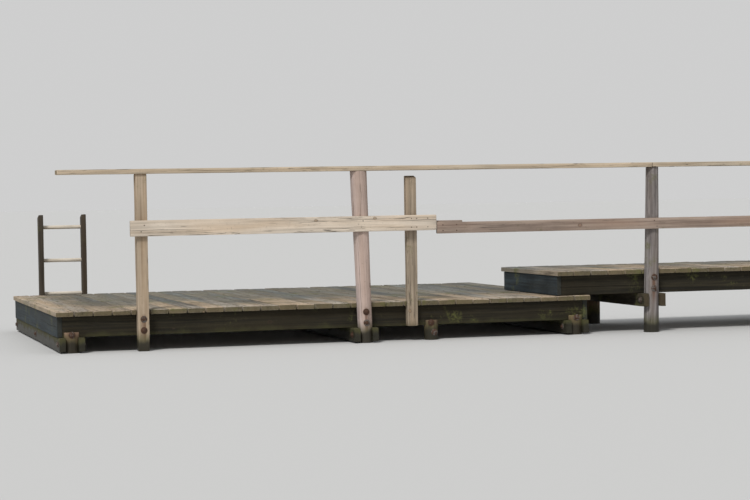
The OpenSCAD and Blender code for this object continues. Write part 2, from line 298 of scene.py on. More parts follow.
def tube(piece, ring, grain, mark, rng, flip=False):
    """A closed skin through rings of points, with flip where they run round the other way."""
    stations, n = ring.shape[:2]
    grain[..., 0] += rng.uniform(0, GRAIN_RUN)
    tone = rng.random(3)
    base = piece.verts(ring, grain, tone, mark)
    quads, corners = skin(stations, n)
    around = np.linalg.norm(np.roll(ring, -1, 1) - ring, axis=2).mean(0)
    along = np.percentile(np.linalg.norm(np.diff(ring, axis=0), axis=2), 90, axis=1)
    u, v = (np.r_[0, np.cumsum(steps)] for steps in (around, along))
    uv = np.stack([joined(u[b], v[a]) for a, b in corners], 2).reshape(-1, 4, 2)
    if flip:
        quads, uv = quads[:, ::-1], uv[:, ::-1]
    piece.chart([(quads + base, uv)])
    for s, back in ((0, not flip), (stations - 1, flip)):
        cap(piece, base + s * n + np.arange(n), ring[s], grain[s], tone, back)


# A drying check: its face, its place across and half length and middle along, depth and half width
Check = namedtuple("Check", "face at half middle deep gap")


def opening(check, place):
    """How far a check gapes at places along its timber, as a share."""
    return np.sqrt(np.clip(1 - ((place - check.middle) / check.half) ** 2, 0, 1))


def with_checks(places, checks, clear, ends=()):
    """Lines at places, three at each check instead, as their place, side of a check and check."""
    lines = [(at, 0, None) for at in places if at in ends or all(abs(at - c.at) > clear for c in checks)]
    lines += [(check.at, side, check) for check in checks for side in (-1, 0, 1)]
    return sorted(lines, key=lambda line: line[:2])


def bar_checks(rng, tries, length, wide):
    """Draws checks on the broad faces of a sawn timber, none close beside another."""
    broad = [k for k in range(4) if wide[k % 2] >= 0.5 * max(wide)]
    found = []
    for _ in range(tries):
        face, at = rng.choice(broad), rng.uniform(0.25, 0.75)
        half = rng.uniform(0.10, 0.45) * min(length, 2.5)
        centre = rng.choice([0, length, rng.uniform(0, length)])
        deep = min(0.010, 0.2 * min(wide)) * rng.uniform(0.5, 1)
        if all(abs(at - other.at) > 0.2 for other in found if other.face == face):
            found.append(Check(face, at, half, centre, deep, rng.uniform(0.0009, 0.0020)))
    return found


def bar(piece, lo, hi, axis, rng, arris=0.004, rough=0.0014, checks=2, slope=0.0, bolted=False):
    """A sawn timber inside a box: worn arrises, an uneven skin and drying checks.

    A slope lets the top of an upright fall towards -Y, or towards +Y where it is below 0.
    """
    a, b = [k for k in range(3) if k != axis]
    length, wide = hi[axis] - lo[axis], (hi[a] - lo[a], hi[b] - lo[b])
    seed = rng.integers(1000)
    steps = np.linspace(0, length, max(4, round(length / 0.045)) + 1)[1:-1]
    s = np.r_[0, arris, steps, length - arris, length]
    whole, none = np.ones(len(s)), np.zeros(len(s))
    radius = [arris * (0.55 + 1.8 * field(s * 5, k * 3.3, seed) ** 2) for k in range(4)]
    found = bar_checks(rng, checks, length, wide)
    lines = []

    def line(face, t, d, worn, crack):
        """A line of points along the timber, t along a face from its corner and d inside it."""
        u = (t, wide[0] - d, wide[0] - t, d)[face]
        v = (d, t, wide[1] - d, wide[1] - t)[face]
        lines.append((u, v, worn, crack))

    start = 0.0
    for face in range(4):
        w, r0, r1 = wide[face % 2], radius[face], radius[(face + 1) % 4]
        m = 0.293 * r0 + rough * 0.5 * field(s * 9, start * 40, seed + 1)
        line(face, m, m, whole, none)
        places = np.linspace(0, 1, max(2, round(w / 0.02)) + 1)
        own = [c for c in found if c.face == face]
        for f, side, check in with_checks(places, own, 0.09, ends=(0, 1)):
            here = start + f * w
            coarse, fine = field(s * 2.5, here * 6, seed + 2), field(s * 14, here * 45, seed + 3)
            d = rough * (0.35 * coarse + 0.65 * fine)
            worn, crack = (whole if f in (0, 1) else none), none
            if check:
                opened = opening(check, s)
                f = f + 0.07 * (field(s * 6, 0.5, seed + 4) - 0.5)
                f = f + side * check.gap / w * np.maximum(opened, 0.2)
                if side == 0:
                    d, crack = d + check.deep * opened, opened
            line(face, r0 + f * (w - r0 - r1), d, worn, crack)
        start += w
    u, v, worn, crack = (np.stack(part, 1) for part in zip(*lines))
    for part, w in ((u, wide[0]), (v, wide[1])):
        part[[0, -1]] = w / 2 + (part[[0, -1]] - w / 2) * (1 - arris / w)
    s = s[:, None]
    ring = np.zeros((*u.shape, 3))
    ring[..., axis], ring[..., a], ring[..., b] = lo[axis] + s, lo[a] + u, lo[b] + v
    if slope:
        fall = abs(slope) * (ring[..., Y] - lo[Y] if slope < 0 else hi[Y] - ring[..., Y])
        reach = 0.08
        ring[..., Z] -= fall * np.clip((s - length + reach) / reach, 0, 1)
    pith = rng.uniform(-0.6, 0.6, 2) * wide + rng.choice([-1, 1], 2) * rng.uniform(0.01, 0.05, 2)
    grain = joined(s, u - wide[0] / 2 - pith[0], v - wide[1] / 2 - pith[1])
    across = u - wide[0] / 2 if bolted else 1.0
    tube(piece, ring, grain, joined(worn, crack, across), rng, flip=axis == Y)


# A cut from height z0 to z1 that keeps what is on the pith's side of a plane across an axis
Cut = namedtuple("Cut", "z0 z1 axis sign limit")


def leant(x, tilt, z):
    """Place at a height of what leans along X and stands at x on the platform's level."""
    return x + (z - PLATFORM_H) * math.tan(math.radians(tilt))


def log(piece, rng, x, y, foot, top, height, tilt=0.0, cuts=(), centre_y=None, checks=2):
    """A round timber that stands on the water: taper, lean, seats cut by planes, knots and checks.

    centre_y is where the rays of its section start, for one that is cut past its pith.
    """
    seed = rng.integers(1000)
    z = [*np.linspace(0, height, max(6, round(height / 0.02)) + 1), height - HEAD_WORN]
    for z0, z1, *_ in cuts:
        z = [q for q in z if min(abs(q - z0), abs(q - z1)) > 0.0015 or q in (0, height)]
        z += [q for edge in (z0, z1) for q in (edge - LEDGE, edge + LEDGE) if 0 < q < height]
    z = np.array(sorted(set(z)))
    found = []
    for _ in range(checks):
        at = rng.uniform(0.3, TURN - 0.3)
        if all(abs(at - other.at) > 0.5 for other in found):
            extent = rng.uniform(0.25, 0.6) * height, rng.uniform(0.2, 1.0) * height
            found.append(Check(None, at, *extent, rng.uniform(0.006, 0.012), rng.uniform(0.012, 0.03)))
    lines = with_checks(np.linspace(0, TURN, 104, endpoint=False), found, 0.05)
    theta, depth = np.zeros((2, len(z), len(lines)))
    for j, (at, side, check) in enumerate(lines):
        theta[:, j] = at
        if check:
            opened = opening(check, z)
            theta[:, j] += side * check.gap * np.maximum(opened, 0.15)
            depth[:, j] = check.deep * opened * (side == 0)
    z = z[:, None]
    theta += rng.uniform(-0.2, 0.2) * z + 0.02 * (field(z * 5, 0.3, seed) - 0.5)
    pith = joined(leant(x, tilt, z) + 0 * theta, y)
    turn = theta / TURN
    r = (foot + (top - foot) * z / height) / 2
    r = r - 0.0018 * field(z * 2.5, turn * 5, seed + 1, 5)
    r = r - 0.0012 * field(z * 8, turn * 16, seed + 2, 16)
    for _ in range(max(1, round(height * 5))):
        knot_z, knot_turn = rng.uniform(0, height), rng.uniform(0, TURN)
        off = (theta - knot_turn + math.pi) % TURN - math.pi
        size = rng.uniform(0.008, 0.014)
        r = r + 0.0018 * np.exp(-((z - knot_z) ** 2 + (off * foot / 2) ** 2) / size**2)
    centre = joined(pith[..., X], y if centre_y is None else centre_y)
    ray = joined(np.cos(theta), np.sin(theta))
    gap = centre - pith
    along = (gap * ray).sum(-1)
    reach = -along + np.sqrt(along**2 - (gap**2).sum(-1) + r**2) - depth
    hewn = 0.0010 * field(z * 22, turn * 24, seed + 3, 24)
    for z0, z1, axis, sign, limit in cuts:
        toward, room = ray[..., axis] * sign, (limit - centre[..., axis]) * sign
        plane = np.where(toward > 1e-6, room / np.maximum(toward, 1e-6), BEYOND) - hewn
        reach = np.where((z > z0) & (z < z1), np.minimum(reach, plane), reach)
    reach[-1] -= HEAD_WORN
    flat = centre + ray * reach[..., None]
    ring = joined(flat[..., X], flat[..., Y], z) + ORIGIN
    dx, dy = np.moveaxis(flat - pith, -1, 0)
    mark = joined(0, depth / 0.010, np.where(ray[..., Y] < 0, dx, 1.0))
    tube(piece, ring, joined(z, dx, dy), mark, rng)


# A check in a deck board: the end that it starts from, its place, run, depth and half width
EndCheck = namedtuple("EndCheck", "end at run deep half")


def board_lines(low, high, bevel, notches):
    """Grid lines across a board: its edges, those of its notches, and a bevel beside each."""
    lines = [low, low + bevel, high - bevel, high]
    for n0, n1 in notches:
        edges = (n0 - bevel, n0, n1, n1 + bevel)
        lines += [q for q in edges if low + 0.002 < q < high - 0.002]
    return lines


def fill(lines, wanted):
    """Adds the wanted grid lines that keep clear of the others."""
    for q in wanted:
        if min(abs(q - line) for line in lines) > 0.008:
            lines.append(q)


def board_checks(rng, xa, xb, lines):
    """Draws checks at both ends of a board, clear of grid lines and of each other."""
    found = []
    for end in (0, 1):
        for _ in range(rng.integers(0, 3)):
            at = rng.uniform(xa + 0.02, xb - 0.02)
            clear = all(abs(at - q) > 0.008 for q in lines)
            if clear and all(abs(at - other.at) > 0.012 for other in found):
                run, deep = rng.uniform(0.05, 0.35), rng.uniform(0.006, 0.018)
                found.append(EndCheck(end, at, run, deep, rng.uniform(0.0006, 0.0018)))
    return found


def board(piece, xa, xb, ya, yb, z0, z1, notches, rows, rng):
    """A deck board that lies across the deck, notched round what stands in its way."""
    seed = rng.integers(1000)
    bevel = rng.uniform(0.0025, 0.0045)
    nail_line = (xa + xb) / 2
    xa, xb = xa + rng.uniform(0, 0.0025), xb - rng.uniform(0, 0.0025)
    ya, yb = ya + rng.uniform(0, 0.006), yb - rng.uniform(0, 0.006)
    notches = [n for n in notches if n[0] < xb - 0.004 and n[1] > xa + 0.004 and n[2] < yb and n[3] > ya]
    xs = board_lines(xa, xb, bevel, [n[:2] for n in notches])
    ys = board_lines(ya, yb, bevel, [n[2:] for n in notches])
    found = board_checks(rng, xa, xb, xs)
    xs += [check.at for check in found]
    fill(xs, np.linspace(xa, xb, 6)[1:-1])
    xs += [check.at + side * 0.0015 for check in found for side in (-1, 1)]
    fill(ys, [ya + 0.02, ya + 0.05, ya + 0.09, yb - 0.02, yb - 0.05, yb - 0.09])
    fill(ys, np.linspace(ya, yb, max(4, round((yb - ya) / 0.09)) + 1)[1:-1])
    xs, ys = np.array(sorted(xs)), np.array(sorted(ys))

    # Which cells of the grid are wood, with a border of none
    cx, cy = (xs[1:] + xs[:-1]) / 2, (ys[1:] + ys[:-1]) / 2
    cells = np.ones((len(cx), len(cy)), bool)
    for n0, n1, m0, m1 in notches:
        cells &= ~(((cx > n0) & (cx < n1))[:, None] & ((cy > m0) & (cy < m1))[None])
    wood_at = np.pad(cells, 1)
    around = sum(wood_at[i : i + len(xs), j : j + len(ys)].astype(int) for i in (0, 1) for j in (0, 1))
    used, rim = around > 0, (around < 4) & (around > 0)

    # The worn upper face, and the lower one
    gx, gy = np.meshgrid(xs, ys, indexing="ij")
    across = (gx - xs[0]) / (xs[-1] - xs[0]) * 2 - 1
    skin = 0.0011 * field(gy * 3, gx * 25, seed) + 0.0006 * field(gy * 20, gx * 90, seed + 1)
    sunk = rng.uniform(0, 0.0018)
    tipped = rng.uniform(0, 0.0012) * (1 + rng.choice([-1, 1]) * across)
    cupped = rng.uniform(-0.3, 1) * 0.0012 * across**2
    chip = bevel * (0.5 + 1.3 * field(gy * 7, gx * 3, seed + 2) ** 2)
    top = z1 - (np.maximum(sunk + tipped + cupped, 0) + skin) - np.where(rim, chip, 0)
    low = z0 + np.where(rim, bevel * 0.4, 0)
    crack = np.zeros_like(gx)
    for check in found:
        opened = np.sqrt(np.clip(1 - abs(ys - ys[-check.end]) / check.run, 0, 1))
        i = np.argmin(abs(xs - check.at))
        top[i] -= check.deep * opened
        crack[i] = np.maximum(crack[i], opened)
        for side in (-1, 1):
            gx[i + side] = check.at + side * check.half * np.maximum(opened, 0.3)
    gx = np.clip(gx + 0.0012 * (field(gy * 1.5, 0.4, seed + 3) - 0.5), xs[0], xs[-1])

    # The points of both faces, and what the material reads there
    number, total = np.cumsum(used).reshape(used.shape) - 1, used.sum()
    co = np.concatenate([joined(gx[used], gy[used], h[used]) for h in (top, low)])
    pith = (rng.uniform(-0.06, 0.06), rng.choice([-1, 1]) * rng.uniform(0.02, 0.09))
    along = co[:, Y] + rng.uniform(0, GRAIN_RUN)
    aside, above = co[:, X] - (xa + xb) / 2 - pith[0], co[:, Z] - (z0 + z1) / 2 - pith[1]
    crack = np.r_[crack[used], np.zeros(total)]
    mark = joined(np.tile(rim[used], 2), crack, co[:, X] - nail_line)
    row = (co[:, Y] - rows[0]) / (rows[1] - rows[0])
    base = piece.verts(co + ORIGIN, joined(along, aside, above), rng.random(3), mark, row)

    # Both faces, then the walls: end grain where they face along Y, sides along X
    i, j = np.nonzero(cells)
    corners = ((0, 0), (1, 0), (1, 1), (0, 1))
    quads = joined(*(number[i + a, j + b] for a, b in corners))
    for faces in (quads, quads[:, ::-1] + total):
        piece.chart([(faces + base, co[faces][..., :2])])
    for k, (di, dj) in enumerate(((0, -1), (1, 0), (0, 1), (-1, 0))):
        bare = cells & ~wood_at[1 + di : 1 + di + len(cx), 1 + dj : 1 + dj + len(cy)]
        i, j = np.nonzero(bare)
        (a0, b0), (a1, b1) = corners[k], corners[(k + 1) % 4]
        p, r = number[i + a0, j + b0], number[i + a1, j + b1]
        walls = joined(r, p, p + total, r + total)
        line, axis, end = (j, X, 1.0) if dj else (i, Y, 0.45)
        for at in np.unique(line):
            faces = walls[line == at]
            piece.chart([(faces + base, co[faces][..., (axis, Z)])], end)


# Fasteners

UP, OUT = (0, 0, 1), (0, -1, 0)


def turned(piece, at, normal, profile, n, rng, phase=0.0):
    """A small head or washer: a profile of radius and height turned round the normal."""
    side = np.cross(normal, (1, 0, 0) if normal == UP else UP)
    axes = np.array([normal, side, np.cross(normal, side)])
    angle = np.linspace(0, TURN, n, endpoint=False) + phase
    circle = joined(np.cos(angle), np.sin(angle))
    rings = [np.column_stack([np.full(n, h), circle * r]) for r, h in profile]
    local = np.concatenate(rings + [[(profile[-1][1], 0, 0)]])
    base = piece.verts(local @ axes + at + ORIGIN, local + rng.uniform(0, 9, 3), rng.random(3))
    piece.chart([(base + np.arange(n)[None, ::-1], rings[0][None, ::-1, 1:])])
    m = len(profile)
    run = np.cumsum([0, *map(math.dist, profile, profile[1:])])
    reach = run[-1] + profile[-1][0]
    flat = np.concatenate([circle * (reach - d) for d in run] + [np.zeros((1, 2))])
    quads, _ = skin(m, n)
    tip = fan((m - 1) * n + np.arange(n), m * n)
    piece.chart([(quads + base, flat[quads]), (tip + base, flat[tip])])


def nail(piece, at, normal, rng):
    """A round nail head."""
    turned(piece, at, normal, [(0.0045, -0.002), (0.0045, 0.0004), (0.00315, 0.0010)], 8, rng)


def bolt(piece, at, normal, rng, hexagon=True):
    """A washer with a hexagon head on it, or else a domed one."""
    turned(piece, at, normal, [(0.023, -0.003), (0.023, 0.0022), (0.021, 0.0032)], 20, rng)
    if hexagon:
        head = [(0.0135, 0.001), (0.0135, 0.0105), (0.0115, 0.0125)]
        turned(piece, at, normal, head, 6, rng, rng.uniform(0, 1))
    else:
        head = [(0.0150, 0.001), (0.0140, 0.0045), (0.0100, 0.0078), (0.0045, 0.0092)]
        turned(piece, at, normal, head, 16, rng)


# Materials


def rgb(*parts):
    """A screen colour, from 0 to 255, in linear light."""
    parts = (c / 255 for c in parts)
    return (*(((c + 0.055) / 1.055) ** 2.4 if c > 0.04 else c / 12.92 for c in parts), 1.0)


SPECK, KNOT, HAIRLINE, CRACK = rgb(58, 54, 48), rgb(62, 50, 40), rgb(45, 41, 36), rgb(24, 21, 18)
IRON, RUST, MOSS = rgb(66, 56, 48), rgb(98, 66, 45), rgb(96, 98, 54)
ALGAE, SOAKED = rgb(74, 74, 44), rgb(33, 31, 26)
# These two darken what lies under them: the first is painted shade with a painted blue sky reflection for
# the inside of a deck, the second the late wood of end grain
SLATE_SHADE_AND_SKY, LATE_WOOD = (0.42, 0.49, 0.55, 1.0), (0.50, 0.47, 0.44, 1.0)


class Nodes:
    """Short ways to add nodes to a tree. Values are sockets or plain numbers."""

    def __init__(self, tree):
        self.tree = tree

    def outputs(self, kind, inputs, **settings):
        """Adds a node and returns all its outputs."""
        node = self.tree.nodes.new(kind)
        for key, value in settings.items():
            setattr(node, key, value)
        for key, value in inputs.items():
            if isinstance(value, bpy.types.NodeSocket):
                self.tree.links.new(value, node.inputs[key])
            else:
                node.inputs[key].default_value = value
        return node.outputs

    def add(self, kind, inputs, out=0, **settings):
        return self.outputs(kind, inputs, **settings)[out]

    def math(self, operation, a, b=0.0, c=0.0):
        return self.add("ShaderNodeMath", {0: a, 1: b, 2: c}, operation=operation)

    plus, minus = partialmethod(math, "ADD"), partialmethod(math, "SUBTRACT")
    times, linear = partialmethod(math, "MULTIPLY"), partialmethod(math, "MULTIPLY_ADD")
    size = partialmethod(math, "ABSOLUTE")

    def step(self, value, low, high):
        """0 below low and 1 above high, or the other way round where low is above high."""
        (low, start), (high, end) = sorted([(low, 0.0), (high, 1.0)])
        inputs = {"Value": value, "From Min": low, "From Max": high, "To Min": start, "To Max": end}
        return self.add("ShaderNodeMapRange", inputs, interpolation_type="SMOOTHSTEP")


class Shader(Nodes):
    """A material whose colour is painted in layers."""

    def __init__(self, name):
        self.mat = bpy.data.materials.new(name)
        self.mat.use_nodes = True
        super().__init__(self.mat.node_tree)
        self.bsdf = self.tree.nodes["Principled BSDF"]
        self.colour = None

    def attribute(self, name, out="Vector"):
        return self.add("ShaderNodeAttribute", {}, out, attribute_name=name)

    def parts(self, vector):
        return self.outputs("ShaderNodeSeparateXYZ", {0: vector})

    def scaled(self, vector, scale, shift=(0.0, 0.0, 0.0)):
        return self.add("ShaderNodeVectorMath", {0: vector, 1: scale, 2: shift}, operation="MULTIPLY_ADD")

    def length(self, vector):
        return self.add("ShaderNodeVectorMath", {0: vector}, "Value", operation="LENGTH")

    def noise(self, vector, scale, shift=0.0, detail=2.0, rough=0.5, out="Fac"):
        vector = self.scaled(vector, scale, (shift, shift, shift))
        inputs = {"Vector": vector, "Scale": 1.0, "Detail": detail, "Roughness": rough}
        return self.add("ShaderNodeTexNoise", inputs, out)

    def mix(self, share, a, b, blend="MIX"):
        return self.add("ShaderNodeMix", {0: share, 6: a, 7: b}, 2, data_type="RGBA", blend_type=blend)

    def paint(self, colour, where, strength, blend="MIX"):
        """Lays a colour over what is there."""
        self.colour = self.mix(self.times(where, strength), self.colour, colour, blend)

    def finish(self, rough, relief, strength, distance):
        """Links the layers to the surface and returns the material."""
        inputs = {"Height": relief, "Strength": strength, "Distance": distance}
        bump = self.add("ShaderNodeBump", inputs)
        for name, value in (("Base Color", self.colour), ("Roughness", rough), ("Normal", bump)):
            self.tree.links.new(value, self.bsdf.inputs[name])
        return self.mat


class Wood(Shader):
    """What the layers of weathered softwood read: its grain, and slow and fine noise."""

    def __init__(self, name, *colours):
        super().__init__(name)
        self.light, self.dark, self.warm, self.end = (rgb(*colour) for colour in colours)
        self.grain = self.attribute("grain")
        self.place = self.add("ShaderNodeTexCoord", {}, "Object")
        self.tone = self.parts(self.attribute("tone"))
        self.worn, self.crack, self.across = self.parts(self.attribute("mark"))
        self.ends = self.attribute("end", "Fac")
        self.from_lake, self.from_rail, self.height = self.parts(self.place)
        self.streak = self.noise(self.grain, (1.5, 60, 60), 3.0, detail=4, rough=0.6)
        self.fibre = self.noise(self.grain, (11, 420, 420), 5.0, detail=3, rough=0.6)
        self.blotch = self.noise(self.place, (3.2, 3.2, 3.2), detail=4, rough=0.6)
        self.speck = self.noise(self.place, (70, 70, 70), detail=3, rough=0.7)


def knots(s):
    """The shares of the knots, of their ringed hearts and of the grain that bends round them."""
    spread = s.scaled(s.grain, (4.5, 15, 15))
    cell = s.outputs("ShaderNodeTexVoronoi", {"Vector": spread, "Scale": 1.0})
    kind = s.parts(cell["Color"])
    chosen = s.math("GREATER_THAN", kind[0], 0.72)
    off = s.add("ShaderNodeVectorMath", {0: cell["Position"], 1: spread}, operation="SUBTRACT")
    radius = s.linear(kind[1], 0.006, 0.008)
    ragged = s.linear(s.noise(s.grain, (90, 90, 90)), 0.5, -0.25)

    def away(shape, raggedness):
        """The distance from the nearest knot's middle, in radii of that knot."""
        distance = s.math("DIVIDE", s.length(s.scaled(off, shape)), radius)
        return s.plus(distance, s.times(ragged, raggedness))

    eye = away((0.16, 0.067, 0.067), 1.0)
    knot = s.times(s.step(eye, 1.12, 0.92), chosen)
    heart = s.times(s.step(eye, 0.98, 0.72), chosen)
    ringed = s.linear(s.math("SINE", s.times(eye, 16.0)), 0.12, 0.88)
    bent = s.times(s.step(away((0.075, 0.067, 0.067), 0.0), 2.6, 0.6), chosen)
    return knot, s.times(heart, ringed), bent


def growth_rings(s, bent):
    """Rings round the pith, pushed about by slow noise and by knots."""
    drift = s.noise(s.grain, (1.4, 10, 10), out="Color")
    pushed = s.scaled(drift, (0.0, 0.018, 0.018), s.grain)
    radius = s.linear(bent, 0.010, s.length(s.scaled(pushed, (0, 1, 1))))
    return s.step(s.math("SINE", s.times(radius, 1450.0)), -0.2, 0.95)


def hairlines(s, amount):
    """Fine cracks along the grain, here and there."""
    line = s.minus(s.noise(s.grain, (2.6, 120, 120), 2.0, detail=1), 0.5)
    here = s.step(s.noise(s.grain, (1.2, 20, 20), 4.0), 0.47, 0.58)
    return s.times(s.times(s.step(s.size(line), 0.024, 0.006), here), amount)


def bleached(s, rings, spread):
    """Bleached and dark grain, warm patches, and a tone of each timber's own."""
    s.colour = s.mix(s.step(s.streak, 0.32, 0.68), s.dark, s.light)
    s.paint(s.dark, rings, 0.34)
    s.paint(s.dark, s.step(s.fibre, 0.45, 0.75), 0.30)
    patch = s.noise(s.grain, (1.0, 9, 9), 9.0, detail=3)
    patch = s.plus(patch, s.times(s.tone[1], 0.35))
    s.paint(s.warm, s.step(patch, 0.48, 0.85), 0.75)
    shade = s.linear(s.tone[0], spread, 1.0 - spread / 2)
    shade = s.times(shade, s.linear(s.step(s.blotch, 0.3, 0.7), 0.22, 0.88))
    grey = s.add("ShaderNodeCombineColor", {0: shade, 1: shade, 2: shade})
    s.colour = s.mix(1.0, s.colour, grey, "MULTIPLY")


def slate_shade_and_sky(s):
    """Painted shade and a painted sky reflection: a deck stays tan along the railing edge and the lake
    end, and is darkened to slate grey inside.
    """
    own = s.linear(s.tone[2], 0.6, s.linear(s.blotch, 0.8, -0.7))
    from_rail = s.minus(s.from_rail, float(ORIGIN[Y]))
    from_lake = s.minus(s.from_lake, float(ORIGIN[X]))
    inside = s.step(s.plus(from_rail, own), 0.40, 1.00)
    inland = s.step(s.plus(from_lake, own), 0.15, 0.50)
    s.paint(SLATE_SHADE_AND_SKY, s.times(inside, inland), s.minus(1.0, s.ends), "MULTIPLY")


def wear(s, rings, knot, heart, hair):
    """End grain, dark specks, pale worn arrises, knots and cracks."""
    s.paint(s.end, s.ends, 0.85)
    s.paint(LATE_WOOD, s.times(rings, s.ends), 0.55, "MULTIPLY")
    s.paint(SPECK, s.step(s.speck, 0.60, 0.74), s.times(s.step(s.blotch, 0.42, 0.62), 0.5))
    s.paint(s.light, s.worn, s.linear(s.ends, -0.26, 0.30))
    s.paint(KNOT, knot, 0.75)
    s.paint(s.warm, heart, 0.70)
    s.paint(HAIRLINE, hair, 0.75)
    s.paint(CRACK, s.crack, 0.92)


def iron_stains(s, ragged):
    """Stains along the grain from every nail of a deck board."""
    row = s.math("FRACT", s.plus(s.attribute("row", "Fac"), 0.5))
    along = s.size(s.minus(row, 0.5))
    beside = s.size(s.minus(ragged, NAIL_SIDE))
    away = s.linear(beside, 95.0, s.times(along, 11.0))
    s.paint(IRON, s.step(away, 1.1, 0.1), 0.62)


def rust_run(s, ragged, bolts):
    """Rust run down from a post's bolts, the lower of which is at this height."""
    run = s.step(ragged, 0.022, 0.006)
    run = s.times(run, s.step(s.height, bolts - 0.15, bolts - 0.01))
    run = s.times(run, s.step(s.height, bolts + 0.12, bolts + 0.08))
    s.paint(RUST, run, 0.72)


def mossy(s, moss):
    """Patches of moss."""
    cover = s.noise(s.place, (5, 5, 5), 2.0, detail=5, rough=0.65)
    cover = s.linear(s.speck, 0.35, cover)
    cover = s.step(cover, 0.80 - 0.30 * moss, 0.98 - 0.30 * moss)
    s.paint(MOSS, cover, 0.72)


def waterline(s, wet):
    """A green and then a black band up to about this height. Returns the share of the black."""
    edge = s.noise(s.place, (9, 9, 3), 6.0, detail=4, rough=0.6)
    edge = s.linear(edge, -0.10, s.height)
    s.paint(ALGAE, s.step(edge, wet * 1.9, wet * 0.4), 0.75)
    soaked = s.step(edge, wet * 0.75, wet * 0.1)
    s.paint(SOAKED, soaked, 0.85)
    return soaked


def wood(slot, look, *colours, spread, moss=0.0, wet=0.0, hairs=1.0, bolts=0.0, nailed_and_shaded=False,
         gloss=0.28):
    """Makes a slot's wood in four colours, with spread the range of its timbers' own tones."""
    s = Wood(f"{slot}_{look}", *colours)
    knot, heart, bent = knots(s)
    rings, hair = growth_rings(s, bent), hairlines(s, hairs)
    bleached(s, rings, spread)
    # A deck gets painted shade and a painted sky reflection over its inside
    if nailed_and_shaded:
        slate_shade_and_sky(s)
    wear(s, rings, knot, heart, hair)
    ragged = s.linear(s.minus(s.streak, 0.5), 0.03, s.size(s.across))
    if nailed_and_shaded:
        iron_stains(s, ragged)
    if bolts:
        rust_run(s, ragged, bolts)
    if moss:
        mossy(s, moss)
    rough = s.linear(s.streak, 0.14, 0.80)
    if wet:
        rough = s.linear(waterline(s, wet), -0.35, rough)
    relief = s.linear(rings, 0.35, s.times(s.fibre, 0.5))
    relief = s.linear(s.streak, 0.6, s.linear(hair, -1.2, relief))
    s.bsdf.inputs["Specular IOR Level"].default_value = gloss
    WOODS[slot] = s.finish(rough, relief, 0.55, 0.0022)


def rusty(name):
    """Rusted mild steel, with some of its zinc left."""
    s = Shader(name)
    place, tone = s.add("ShaderNodeTexCoord", {}, "Object"), s.parts(s.attribute("tone"))
    spots = s.noise(place, (260, 260, 260), detail=4, rough=0.7)
    s.colour = s.mix(s.step(spots, 0.35, 0.65), rgb(44, 34, 28), rgb(96, 64, 44))
    zinc = s.linear(tone[0], 0.35, s.noise(place, (90, 90, 90), 4.0))
    s.paint(rgb(112, 110, 106), s.step(zinc, 0.72, 0.82), 0.7)
    s.bsdf.inputs["Metallic"].default_value = 0.35
    return s.finish(s.linear(spots, 0.3, 0.55), spots, 0.5, 0.0006)


# The screen colours are those of light, dark and warm grain and of the ends
WOODS = {}
wood("deck_wood", "aged", (194, 184, 171), (130, 122, 111), (176, 154, 127), (88, 79, 51),
     spread=0.42, moss=0.30, nailed_and_shaded=True, gloss=0.15)
# This wood's near black is partly damp wood and partly painted shade, the shade under the deck's
# overhanging edge
wood("frame_wood", "damp_and_shaded", (54, 49, 36), (24, 22, 15), (41, 35, 22), (52, 46, 36),
     spread=0.3, moss=0.12, wet=0.05)
# The dark blue-grey here is painted shade: the end boards take the colour of a face in shade that only
# the sky lights
wood("end_board_wood", "aged", (62, 73, 79), (34, 42, 47), (50, 54, 53), (54, 55, 50),
     spread=0.3, moss=0.2)
wood("bearer_wood", "wet", (84, 76, 60), (42, 38, 29), (66, 56, 40), (76, 66, 50),
     spread=0.35, moss=0.35, wet=0.06)
wood("pile_wood", "wet", (156, 130, 112), (92, 74, 62), (130, 102, 84), (116, 98, 78),
     spread=0.3, moss=0.3, wet=0.07)
wood("tan_post_wood", "aged", (187, 171, 151), (130, 116, 99), (168, 144, 117), (126, 112, 92),
     spread=0.13, moss=0.1, wet=0.055, bolts=PLATFORM_BOLTS[1])
wood("head_pile_wood", "aged", (206, 194, 192), (150, 138, 136), (178, 154, 139), (136, 124, 110),
     spread=0.12, moss=0.05, wet=0.06, bolts=PLATFORM_BOLTS[1])
# These greys are partly painted shade: the walkway posts are darkened towards their shaded look
wood("blue_grey_post_wood", "aged", (156, 150, 148), (104, 98, 97), (132, 119, 107), (116, 108, 98),
     spread=0.2, moss=0.12, wet=0.06, bolts=WALK_BOLTS[1])
wood("top_rail_wood", "aged", (205, 193, 174), (148, 137, 120), (182, 161, 135), (142, 126, 100),
     spread=0.2, moss=0.12)
wood("pale_rail_wood", "aged", (221, 208, 192), (173, 161, 146), (203, 180, 154), (152, 138, 116),
     spread=0.12, moss=0.05)
wood("brown_rail_wood", "aged", (175, 157, 143), (122, 106, 96), (157, 130, 112), (118, 102, 87),
     spread=0.3, moss=0.1)
wood("ladder_wood", "dark", (88, 80, 69), (42, 38, 34), (66, 55, 42), (62, 54, 44),
     spread=0.25, moss=0.2, wet=0.05)
wood("rung_wood", "worn", (236, 228, 215), (186, 176, 160), (216, 198, 172), (170, 156, 132),
     spread=0.12, hairs=0.8)
SLOTS = {part["node"]: part["material_slot"] for part in frame["record"]["subparts"]}


def stand_for(piece, node):
    """Builds a piece in place of a CAD node, in the material of its slot."""
    ob = piece.build(WOODS[SLOTS[node]])
    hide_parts(node)


# Sawn timbers


def bars(node, axis, seed, **shape):
    """Replaces a node's solids by sawn timbers along an axis."""
    rng, piece = default_rng(seed), Piece(node + "_timber")
    for lo, hi in solids(node):
        bar(piece, lo, hi, axis, rng, **shape)
    stand_for(piece, node)


